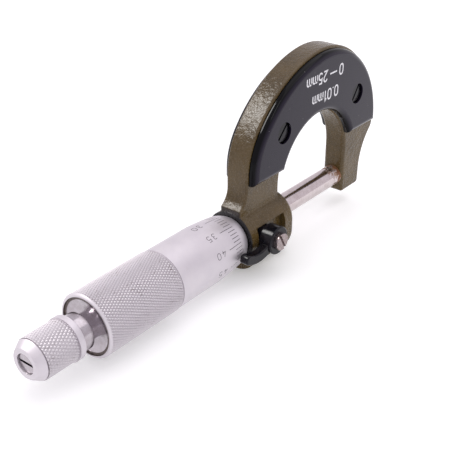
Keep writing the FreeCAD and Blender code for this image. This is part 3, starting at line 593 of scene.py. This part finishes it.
def satin_chrome():
    """Matt chrome with turning marks, faint clouds and a few stains."""
    surface = Surface("satin_chrome", Metallic=0.85)
    grain = surface.noise(0.06, detail=2)
    rings = surface.noise(0.16, detail=2, stretch=TURNED)
    cloud = surface.noise(6.0, detail=4, roughness=0.62, seed=2.3)
    stain = surface.noise(2.6, detail=5, roughness=0.7, seed=5.9)
    clean = surface.mix(surface.remap(cloud, 0.3, 0.7), (0.60, 0.565, 0.605), (0.66, 0.625, 0.655))
    colour = surface.mix(surface.remap(stain, 0.62, 0.78, 0.0, 0.5), clean, (0.53, 0.48, 0.44))
    gloss = surface.remap(cloud, 0.3, 0.7, 0.48, 0.56)
    surface.bump(grain, 0.004, 0.6)
    surface.bump(rings, 0.0025, 0.6)
    return surface.finish(Base_Color=colour, Roughness=gloss)


def knurled_chrome(name, valley_r, tip_r):
    """Matt chrome on a knurl: dirt in the valleys, brighter worn tips."""
    surface = Surface(name, Metallic=1.0)
    height = surface.remap(surface.radius(), valley_r * MM, tip_r * MM)
    patch = surface.noise(5.0, detail=4, roughness=0.6, seed=7.7)
    speck = surface.noise(0.7, detail=3, roughness=0.7, seed=9.2)
    grain = surface.noise(0.06, detail=2)
    dirt_here = surface.maths("MULTIPLY", surface.remap(patch, 0.48, 0.7), surface.remap(speck, 0.5, 0.62))
    low_spot = surface.remap(height, 0.55, 0.0)
    plain = surface.mix(height, (0.53, 0.50, 0.53), (0.62, 0.59, 0.615))
    dirty = surface.mix(surface.maths("MULTIPLY", dirt_here, low_spot), plain, (0.10, 0.065, 0.05))
    gloss = surface.remap(height, 0.0, 1.0, 0.6, 0.56)
    surface.bump(grain, 0.004, 0.5)
    return surface.finish(Base_Color=dirty, Roughness=gloss)


def bright_chrome():
    """Polished chrome with fine turning rings."""
    surface = Surface("bright_chrome", Metallic=1.0)
    rings = surface.noise(0.09, detail=2, stretch=TURNED, seed=1.1)
    smear = surface.noise(1.5, detail=4, roughness=0.65, seed=4.2)
    colour = surface.mix(surface.remap(smear, 0.35, 0.7), (0.47, 0.435, 0.47), (0.38, 0.34, 0.36))
    gloss = surface.remap(smear, 0.3, 0.7, 0.14, 0.24)
    surface.bump(rings, 0.002, 0.5)
    return surface.finish(Base_Color=colour, Roughness=gloss)


def nickel_plate():
    """Warm nickel plate, duller and browner in patches."""
    surface = Surface("nickel_plate", Metallic=1.0)
    smear = surface.noise(0.9, detail=4, roughness=0.65)
    grain = surface.noise(0.08, detail=2, stretch=(1.0, 1.0, 8.0))
    colour = surface.mix(surface.remap(smear, 0.4, 0.7), (0.38, 0.325, 0.335), (0.24, 0.18, 0.155))
    gloss = surface.remap(smear, 0.3, 0.7, 0.18, 0.36)
    surface.bump(grain, 0.004, 0.5)
    return surface.finish(Base_Color=colour, Roughness=gloss)


def ground_steel():
    """Ground steel, fogged and rust-stained, most of all next to the anvil's leg."""
    surface = Surface("ground_steel")
    scratches = surface.noise(0.05, detail=2, stretch=GROUND, seed=0.3)
    fog = surface.noise(2.2, detail=4, roughness=0.6, seed=8.0)
    stain = surface.noise(1.7, detail=5, roughness=0.72, seed=6.4)
    near_leg = surface.remap(surface.axis("X"), RUSTY_X[0] * MM, RUSTY_X[1] * MM, 0.0, 0.35)
    rust_level = surface.maths("ADD", stain, near_leg)
    rust = surface.remap(rust_level, 0.7, 0.82)
    steel = surface.mix(surface.remap(fog, 0.35, 0.7), (0.60, 0.535, 0.54), (0.50, 0.43, 0.43))
    brown = surface.mix(surface.remap(fog, 0.4, 0.6), (0.16, 0.06, 0.02), (0.28, 0.16, 0.08))
    colour = surface.mix(rust, steel, brown)
    gloss = surface.remap(rust, 0.0, 1.0, 0.17, 0.6)
    metal = surface.remap(rust, 0.0, 1.0, 1.0, 0.25)
    surface.bump(scratches, 0.0006, 0.4)
    surface.bump(rust, 0.01, 0.4)
    return surface.finish(Base_Color=colour, Roughness=gloss, Metallic=metal)


def machined_steel():
    """Plain turned steel with a film of oil."""
    surface = Surface("machined_steel", Metallic=1.0)
    rings = surface.noise(0.12, detail=2, stretch=TURNED)
    film = surface.noise(2.0, detail=4, roughness=0.6)
    colour = surface.mix(surface.remap(film, 0.3, 0.7), (0.44, 0.42, 0.40), (0.34, 0.31, 0.28))
    gloss = surface.remap(film, 0.3, 0.7, 0.24, 0.4)
    surface.bump(rings, 0.005, 0.6)
    return surface.finish(Base_Color=colour, Roughness=gloss)


def brass():
    """Turned brass, slightly tarnished."""
    surface = Surface("brass", Metallic=1.0)
    tarnish = surface.noise(0.8, detail=4, roughness=0.6)
    colour = surface.mix(surface.remap(tarnish, 0.3, 0.7), (0.62, 0.42, 0.16), (0.36, 0.22, 0.08))
    gloss = surface.remap(tarnish, 0.3, 0.7, 0.22, 0.42)
    surface.bump(tarnish, 0.01, 0.4)
    return surface.finish(Base_Color=colour, Roughness=gloss)


def graduation_ink():
    """Grey paint in the engraved lines, worn thin in places."""
    surface = Surface("graduation_ink")
    wear = surface.noise(0.35, detail=3, roughness=0.6)
    colour = surface.mix(surface.remap(wear, 0.45, 0.75), (0.035, 0.03, 0.037), (0.13, 0.115, 0.13))
    gloss = surface.remap(wear, 0.3, 0.7, 0.55, 0.75)
    surface.bump(wear, 0.004, 0.5)
    return surface.finish(Base_Color=colour, Roughness=gloss)


def oily_grime():
    """Dark brown patches on the faces in the gap round the thimble's end disc."""
    surface = Surface("oily_grime")
    patch = surface.noise(0.8, detail=3, roughness=0.6)
    colour = surface.mix(surface.remap(patch, 0.35, 0.65), (0.045, 0.03, 0.026), (0.16, 0.12, 0.11))
    gloss = surface.remap(patch, 0.3, 0.7, 0.35, 0.6)
    surface.bump(patch, 0.02, 0.5)
    return surface.finish(Base_Color=colour, Roughness=gloss)


def white_print():
    """White screen print on the moulding."""
    surface = Surface("white_print")
    wear = surface.noise(0.3, detail=3, roughness=0.6)
    colour = surface.mix(surface.remap(wear, 0.5, 0.8), (0.72, 0.72, 0.74), (0.5, 0.5, 0.53))
    gloss = surface.remap(wear, 0.3, 0.7, 0.45, 0.6)
    surface.bump(wear, 0.003, 0.5)
    return surface.finish(Base_Color=colour, Roughness=gloss)


def pale_floor():
    """Plain backdrop, faintly lit from below as on a light table."""
    surface = Surface("pale_floor", Roughness=0.9, Specular_IOR_Level=0.1, Emission_Strength=FLOOR_GLOW)
    tint = surface.noise(90.0, detail=2)
    whiter = tuple(min(1.0, value + FLOOR_TINT) for value in FLOOR_COLOUR)
    colour = surface.mix(tint, FLOOR_COLOUR, whiter)
    return surface.finish(Base_Color=colour, Emission_Color=colour)


# ---- pieces ----------------------------------------------------------------------------------
def division_angle(number):
    """Angle of a thimble graduation; the numbers rise with it."""
    return math.radians(ZERO_ANGLE + 360.0 / DIVISIONS * number)


def thimble_front_x():
    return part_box("thimble")[1].x / MM


def thimble_rear_x():
    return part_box("thimble")[0].x / MM


def thimble_skin():
    """Outer (x, radius) profile from the lip to the start of the grip, front first."""
    front = thimble_front_x()
    lip = (front, LIP_R)
    bevel_front = (front - BEVEL_FRONT[0], BEVEL_FRONT[1])
    bevel_end = (front - BEVEL_END[0], BEVEL_END[1])
    skin = [lip]
    skin += arc_through(lip, (front - LIP_ARC[0], LIP_ARC[1]), bevel_front)
    skin += arc_through(bevel_front, (front - BEVEL_ARC[0], BEVEL_ARC[1]), bevel_end)
    return skin


def radius_at(skin, x):
    """Radius of the thimble's skin at x, on straight lines between its points."""
    for start, end in zip(skin, skin[1:]):
        if end[0] <= x <= start[0]:
            share = (start[0] - x) / (start[0] - end[0])
            return start[1] + (end[1] - start[1]) * share
    return skin[-1][1]


def with_stations(skin, stations):
    """The skin with extra points where the graduations start and end."""
    extra = [(x, radius_at(skin, x)) for x in stations]
    return sorted(skin + extra, key=lambda point: -point[0])


def graduation_spans():
    """Where the graduations start along the thimble, and where the short and long ones end."""
    line_front = thimble_front_x() - DIVISION_FRONT
    return line_front, line_front - MINOR_LENGTH, line_front - MAJOR_LENGTH


def thimble_rear_edge():
    """(x, radius) profile from the end of the barrel over the grip's core to the rear face."""
    front, rear = thimble_front_x(), thimble_rear_x()
    land = (rear + GRIP_END_LAND, GRIP_LAND_R)
    edge = [
        (front - GRIP_GROOVE_START, BEVEL_END[1]),
        (front - GRIP_GROOVE_START, GRIP_CORE_R),
        (land[0], GRIP_CORE_R),
        land,
    ]
    return edge + arc_through(land, (rear + REAR_ARC[0], REAR_ARC[1]), (rear, REAR_R))


def thimble_bore():
    """(x, radius) profile of the inside from the rear face forwards; its first faces are the gap."""
    rear = thimble_rear_x()
    return [
        (rear, REAR_RECESS_R),
        (rear + REAR_RECESS_DEPTH, REAR_RECESS_R),
        (rear + REAR_RECESS_DEPTH, ADAPTER_BORE_R),
        (rear + ADAPTER_LENGTH, ADAPTER_BORE_R),
        (rear + ADAPTER_LENGTH, LIP_BORE_R),
    ]


def thimble_angles():
    """Angles of the mesh's columns: each graduation is one narrow column, with even ones between."""
    half_line = DIVISION_WIDTH / 2 / BEVEL_FRONT[1]
    gap = (2 * math.pi / DIVISIONS - 2 * half_line) / THIMBLE_COLUMNS_BETWEEN
    angles = []
    for number in range(DIVISIONS):
        centre = division_angle(number)
        angles.append(centre - half_line)
        for step in range(THIMBLE_COLUMNS_BETWEEN):
            angles.append(centre + half_line + gap * step)
    return angles


def cut_graduations(mesh, rows, skin):
    """Sinks the graduations' faces into the skin and inks them."""
    line_front, minor_end, major_end = graduation_spans()
    columns_each = THIMBLE_COLUMNS_BETWEEN + 1
    cut = []
    for index, (x, _) in enumerate([(thimble_front_x(), LIP_BORE_R)] + skin[:-1]):
        for number in range(DIVISIONS):
            end = major_end if number % MAJOR_EVERY == 0 else minor_end
            if end + SAME_PLACE < x <= line_front + SAME_PLACE:
                cut.append(rows[index][number * columns_each])
    grown = bmesh.ops.extrude_face_region(mesh, geom=cut)["geom"]
    bmesh.ops.delete(mesh, geom=[face for face in cut if face.is_valid], context="FACES_ONLY")
    for item in grown:
        if isinstance(item, bmesh.types.BMVert):
            out = Vector((0, item.co.y, item.co.z)).normalized()
            item.co -= out * DIVISION_DEPTH * MM
        elif isinstance(item, bmesh.types.BMFace):
            item.material_index = INK_INDEX


def make_thimble(chrome, ink, gap_dark):
    """Thimble body with its fifty graduations cut in and dark brown on the faces in the gap at its rear."""
    skin = with_stations(thimble_skin(), graduation_spans())
    outside = [(thimble_front_x(), LIP_BORE_R)] + skin + thimble_rear_edge()
    bore = thimble_bore()
    mesh = bmesh.new()
    rows = lathe(mesh, outside + bore, thimble_angles())
    cut_graduations(mesh, rows, skin)
    for row in rows[len(outside) : len(outside) + GAP_ROWS]:
        for face in row:
            face.material_index = GAP_DARK_INDEX
    return add_piece("thimble_body", mesh, "thimble_rotor", [chrome, ink, gap_dark])


def make_thimble_grip(material):
    """Diamond knurl between the groove line and the rounded rear edge."""
    front = thimble_front_x() - GRIP_START
    rear = thimble_rear_x() + GRIP_END_LAND
    radii = (GRIP_TIP_R, GRIP_VALLEY_R, GRIP_CORE_R - KNURL_OVERLAP)
    pattern = (GRIP_STARTS, GRIP_PERIODS)
    return make_knurl("thimble_grip", "thimble_rotor", material, pattern, (front, rear), radii)


def make_thimble_numbers(ink):
    """The numbers 0 to 45 on the barrel, each read from the graduation backwards."""
    skin = thimble_skin()
    start_x = thimble_front_x() - DIGIT_FRONT
    mesh = bmesh.new()
    for number in range(0, DIVISIONS, MAJOR_EVERY):
        text = str(number)
        centre = division_angle(number)

        def place(u, v, height):
            x = start_x - u
            radius = radius_at(skin, x)
            angle = centre + (v - DIGIT_HEIGHT / 2) / radius
            return on_axis(x, radius + height, angle)

        write_text(mesh, text, DIGIT_HEIGHT, DIGIT_STROKE, DIGIT_GAP, place, DIGIT_STRETCH)
    return add_piece("thimble_numbers", mesh, "thimble_rotor", [ink])


def make_knob(chrome):
    """Ratchet knob: plain band, core of the grip, groove and conical nose."""
    low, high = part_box("ratchet_knob")
    front, rear = high.x / MM, low.x / MM
    nose_x = front - KNOB_NOSE_START[0]
    profile = [
        (front, KNOB_CAVITY_R),
        (front, KNOB_BAND_R - KNOB_CHAMFER),
        (front - KNOB_CHAMFER, KNOB_BAND_R),
        (front - KNOB_BAND_LENGTH, KNOB_BAND_R),
        (front - KNOB_BAND_LENGTH, KNOB_CORE_R),
        (nose_x, KNOB_CORE_R),
        (nose_x, KNOB_NOSE_START[1]),
        (rear + KNOB_CHAMFER, KNOB_NOSE_END_R + KNOB_CHAMFER / 2),
        (rear, KNOB_NOSE_END_R - KNOB_CHAMFER / 2),
        (rear, KNOB_SCREW_HOLE_R),
        (front - KNOB_SCREW_SEAT, KNOB_SCREW_HOLE_R),
        (front - KNOB_SCREW_SEAT, KNOB_BORE_R),
        (front - KNOB_CAVITY_END, KNOB_BORE_R),
        (front - KNOB_CAVITY_END, KNOB_CAVITY_R),
    ]
    mesh = bmesh.new()
    lathe(mesh, profile, even_angles(KNOB_COLUMNS))
    return add_piece("knob_body", mesh, "knob", [chrome])


def make_knob_grip(material):
    """Coarser diamond knurl on the ratchet knob."""
    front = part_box("ratchet_knob")[1].x / MM
    radii = (KNOB_TIP_R, KNOB_VALLEY_R, KNOB_CORE_R - KNURL_OVERLAP)
    ends = (front - KNOB_BAND_LENGTH, front - KNOB_GRIP_END)
    return make_knurl("knob_grip", "knob", material, (KNOB_STARTS, KNOB_PERIODS), ends, radii)


def make_plate_lettering(print_white):
    """Range and graduation value on the front plate, read from the other side of the bow."""
    face_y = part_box("insulating_plate_front")[0].y / MM
    mesh = bmesh.new()
    for text, middle_z, start_back, height in PLATE_ROWS:

        def place(u, v, lift):
            return Vector((-start_back - u, face_y - lift, middle_z + height / 2 - v)) * MM

        write_text(mesh, text, height, height * PLATE_STROKE_SHARE, PLATE_LETTER_GAP, place)
    return add_piece("plate_lettering", mesh, "frame_assembly", [print_white])


def make_sleeve_scale(ink):
    """Datum line and half-millimetre marks on the sleeve, numbered every five."""
    zero_x = thimble_front_x()
    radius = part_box("graduated_sleeve")[1].z / MM
    datum = math.radians(ZERO_ANGLE)

    def place(u, v, height):
        return on_axis(zero_x - u, radius + height, datum + v / radius)

    mesh = bmesh.new()

    def draw_line(start, end):
        ribbon(mesh, divided([start, end], LINE_STEP), SLEEVE_MARK_STROKE, place)

    draw_line((-DATUM_RUN_ON[0], 0.0), (SLEEVE_LENGTH_MM + DATUM_RUN_ON[1], 0.0))
    for half in range(2 * SLEEVE_LENGTH_MM + 1):
        position = half / 2
        long_mark = half % HALVES_PER_NUMBER == 0
        reach = SLEEVE_MARK_LONG if long_mark else SLEEVE_MARK_SHORT
        draw_line((position, 0.0), (position, -reach if half % 2 else reach))
        if long_mark:
            text = str(half // 2)
            shift = position - text_width(text, SLEEVE_LETTER_GAP) * SLEEVE_DIGIT_HEIGHT / 2

            def place_number(u, v, height, shift=shift):
                return place(u + shift, v + SLEEVE_MARK_LONG + SLEEVE_NUMBER_GAP, height)

            write_text(
                mesh, text, SLEEVE_DIGIT_HEIGHT, SLEEVE_MARK_STROKE, SLEEVE_LETTER_GAP, place_number
            )
    return add_piece("sleeve_scale", mesh, "frame_assembly", [ink])


# ---- stage -----------------------------------------------------------------------------------
def make_floor():
    """Plain pale floor at the object's lowest point."""
    half = FLOOR_SIZE / 2
    mesh = bmesh.new()
    corners = ((-half, -half), (half, -half), (half, half), (-half, half))
    mesh.faces.new([mesh.verts.new((x, y, CAD_LOW.z)) for x, y in corners])
    data = bpy.data.meshes.new("floor")
    mesh.to_mesh(data)
    mesh.free()
    data.materials.append(pale_floor())
    floor = bpy.data.objects.new("floor", data)
    bpy.context.scene.collection.objects.link(floor)


def make_lights():
    """Soft boxes round the object in a pale room."""
    centre = (CAD_LOW + CAD_HIGH) / 2
    for name, direction, distance, width, height, radiance, colour, lights_matt in SOFTBOXES:
        lamp = bpy.data.lights.new(name, "AREA")
        lamp.shape = "RECTANGLE"
        lamp.size = width
        lamp.size_y = height
        lamp.energy = radiance * math.pi * width * height
        lamp.color = colour
        box = bpy.data.objects.new(name, lamp)
        away = Vector(direction).normalized()
        box.location = centre + away * distance
        box.rotation_euler = away.to_track_quat("Z", "Y").to_euler()
        box.visible_diffuse = lights_matt
        bpy.context.scene.collection.objects.link(box)
    world = bpy.data.worlds.new("studio")
    world.use_nodes = True
    background = world.node_tree.nodes["Background"]
    background.inputs["Color"].default_value = (*WORLD_COLOUR, 1.0)
    background.inputs["Strength"].default_value = WORLD_STRENGTH
    bpy.context.scene.world = world


def make_camera():
    """Camera behind the ratchet, above and to the lettered side, aimed near the thimble's front."""
    azimuth, elevation = math.radians(CAMERA_AZIMUTH), math.radians(CAMERA_ELEVATION)
    back = Vector(
        (
            math.sin(azimuth) * math.cos(elevation),
            -math.cos(azimuth) * math.cos(elevation),
            math.sin(elevation),
        )
    )
    aim = Vector((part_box("thimble")[1].x - AIM_BEHIND_THIMBLE_FRONT, 0, AIM_HEIGHT))
    data = bpy.data.cameras.new("camera")
    data.sensor_width = CAMERA_SENSOR
    data.lens = CAMERA_LENS
    data.clip_start, data.clip_end = CAMERA_CLIP
    camera = bpy.data.objects.new("camera", data)
    camera.location = aim + back * CAMERA_DISTANCE
    camera.rotation_euler = back.to_track_quat("Z", "Y").to_euler()
    bpy.context.scene.collection.objects.link(camera)
    bpy.context.scene.camera = camera
    bpy.context.scene.view_settings.view_transform = "Standard"


def dress_cad_nodes(finishes):
    """Gives every CAD node the material of its slot in the record."""
    slots = {part["node"]: part["material_slot"] for part in frame["record"]["subparts"]}
    for name, node in frame["nodes"].items():
        node.material_slots[0].material = finishes[slots[name]]


def main():
    chrome = satin_chrome()
    finishes = {
        "olive_enamel": olive_enamel(),
        "black_moulding": black_moulding(),
        "blackened_steel": blackened_steel(),
        "satin_chrome": chrome,
        "bright_chrome": bright_chrome(),
        "nickel_plate": nickel_plate(),
        "ground_steel": ground_steel(),
        "machined_steel": machined_steel(),
        "brass": brass(),
    }
    ink = graduation_ink()
    dress_cad_nodes(finishes)

    thimble = make_thimble(chrome, ink, oily_grime())
    grip = make_thimble_grip(knurled_chrome("grip_chrome", GRIP_VALLEY_R, GRIP_TIP_R))
    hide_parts("thimble")
    make_thimble_numbers(ink)

    knob = make_knob(chrome)
    knob_grip = make_knob_grip(knurled_chrome("knob_chrome", KNOB_VALLEY_R, KNOB_TIP_R))
    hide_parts("ratchet_knob")

    make_plate_lettering(white_print())
    make_sleeve_scale(ink)

    make_floor()
    make_lights()
    make_camera()


main()
